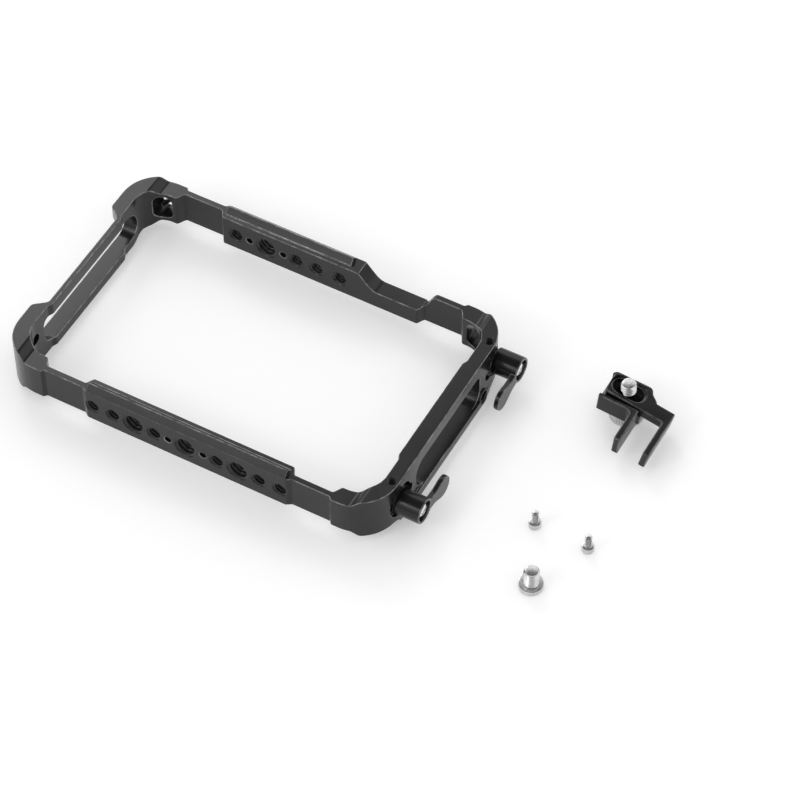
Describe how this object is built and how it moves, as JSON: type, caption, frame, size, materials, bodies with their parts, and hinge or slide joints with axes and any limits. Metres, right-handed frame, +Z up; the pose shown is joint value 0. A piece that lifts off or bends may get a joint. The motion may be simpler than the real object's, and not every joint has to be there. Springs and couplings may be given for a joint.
{
  "type": "monitor cage",
  "caption": "Milled frame around a small camera monitor, with accessory rails, threaded holes, spring ratchet levers, a loose cable clamp and spare screws.",
  "frame": {"origin": "middle of the near rail's hole row along X, middle of the width across Y, on the plane that the end bars rest on", "axes": "+X towards the end bar with the levers, +Y towards the far long side, +Z up out of the opening"},
  "size_m": [0.2467, 0.1167, 0.0252],
  "materials": {
    "anodised_black": "satin black anodised",
    "lever_black": "satin black anodised",
    "dark_steel": "black oxide",
    "bright_steel": "polished stainless",
    "spring_steel": "drawn wire",
    "brass_bush": "machined"
  },
  "bodies": {
    "frame": {"cage_frame": "anodised_black"},
    "far_slider": {"far_washer": "dark_steel"},
    "far_stud": {"far_stud": "bright_steel", "far_stud_ring": "dark_steel", "far_lever_screw": "bright_steel", "far_lever_spring": "spring_steel"},
    "far_lever": {"far_lever": "lever_black", "far_lever_bush": "brass_bush"},
    "near_slider": {"near_washer": "dark_steel"},
    "near_stud": {"near_stud": "bright_steel", "near_stud_ring": "dark_steel", "near_lever_screw": "bright_steel", "near_lever_spring": "spring_steel"},
    "near_lever": {"near_lever": "lever_black", "near_lever_bush": "brass_bush"},
    "clamp_body": {"clamp_body": "anodised_black"},
    "clamp_jaw": {"clamp_jaw": "anodised_black"},
    "clamp_screw": {"clamp_screw_shank": "bright_steel", "clamp_knob": "bright_steel"},
    "spare_cap_screws": {"spare_cap_screws": "bright_steel"},
    "spare_large_screw": {"spare_large_screw": "bright_steel"}
  },
  "joints": [
    {"name": "far_slot_slide", "type": "slide", "parent": "frame", "child": "far_slider", "axis": [0, 1, 0], "range_m": [-0.0016, 0.0009]},
    {"name": "far_lever_turn", "type": "hinge", "parent": "far_slider", "child": "far_stud", "pos_m": [0.0856, 0.0439, 0.012], "axis": [1, 0, 0], "continuous": true},
    {"name": "far_lever_pull", "type": "slide", "parent": "far_stud", "child": "far_lever", "axis": [1, 0, 0], "range_m": [0, 0.0018], "stiffness_N_per_m": 400, "deforming": ["far_lever_spring"]},
    {"name": "near_slot_slide", "type": "slide", "parent": "frame", "child": "near_slider", "axis": [0, 1, 0], "range_m": [-0.0016, 0.0016]},
    {"name": "near_lever_turn", "type": "hinge", "parent": "near_slider", "child": "near_stud", "pos_m": [0.0856, -0.0365, 0.012], "axis": [1, 0, 0], "continuous": true},
    {"name": "near_lever_pull", "type": "slide", "parent": "near_stud", "child": "near_lever", "axis": [1, 0, 0], "range_m": [0, 0.0018], "stiffness_N_per_m": 400, "deforming": ["near_lever_spring"]},
    {"name": "clamp_lift", "type": "slide", "parent": "frame", "child": "clamp_body", "axis": [0, 0, 1], "range_m": [0, 0.03]},
    {"name": "clamp_jaw_slide", "type": "slide", "parent": "clamp_body", "child": "clamp_jaw", "axis": [0.9781, 0, -0.2079], "range_m": [-0.0028, 0.0024]},
    {"name": "clamp_screw_turn", "type": "hinge", "parent": "clamp_jaw", "child": "clamp_screw", "pos_m": [0.1389, 0.0532, 0.01], "axis": [0, 0, 1], "continuous": true},
    {"name": "spare_cap_screws_lift", "type": "slide", "parent": "frame", "child": "spare_cap_screws", "axis": [0, 0, 1], "range_m": [0, 0.03]},
    {"name": "spare_large_screw_lift", "type": "slide", "parent": "frame", "child": "spare_large_screw", "axis": [0, 0, 1], "range_m": [0, 0.03]}
  ]
}
